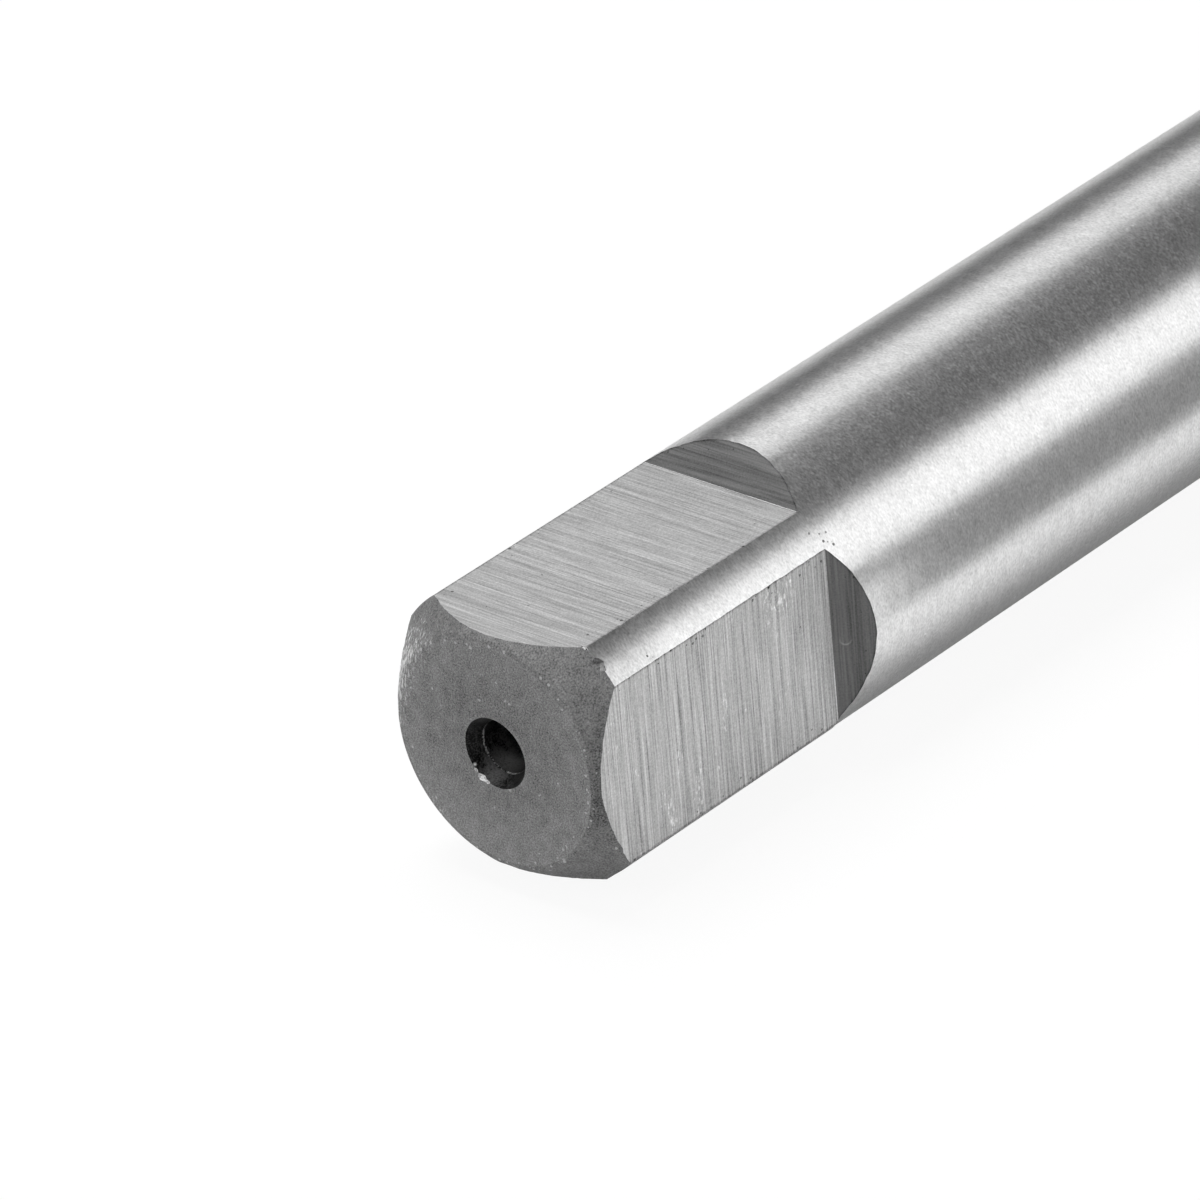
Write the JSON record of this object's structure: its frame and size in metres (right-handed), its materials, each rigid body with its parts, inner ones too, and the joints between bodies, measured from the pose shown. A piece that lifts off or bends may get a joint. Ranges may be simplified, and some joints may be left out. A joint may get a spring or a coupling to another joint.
{
  "type": "machine tap",
  "caption": "Machine tap with a driving square, a plain round shank, straight flutes and a right-hand thread with a relieved lead.",
  "frame": {"origin": "centre of the drive end's face, on the tap's axis", "axes": "+X along the axis from the driving square to the cutting end, +Z out of one flat of the square, -Y out of the next flat. The tap lies on its side."},
  "size_m": [0.095, 0.0124, 0.0124],
  "materials": {
    "ground_steel": "bright ground high-speed steel, milled on the square and satin on the shank"
  },
  "bodies": {
    "root": {"machine_tap": "ground_steel"}
  },
  "joints": []
}
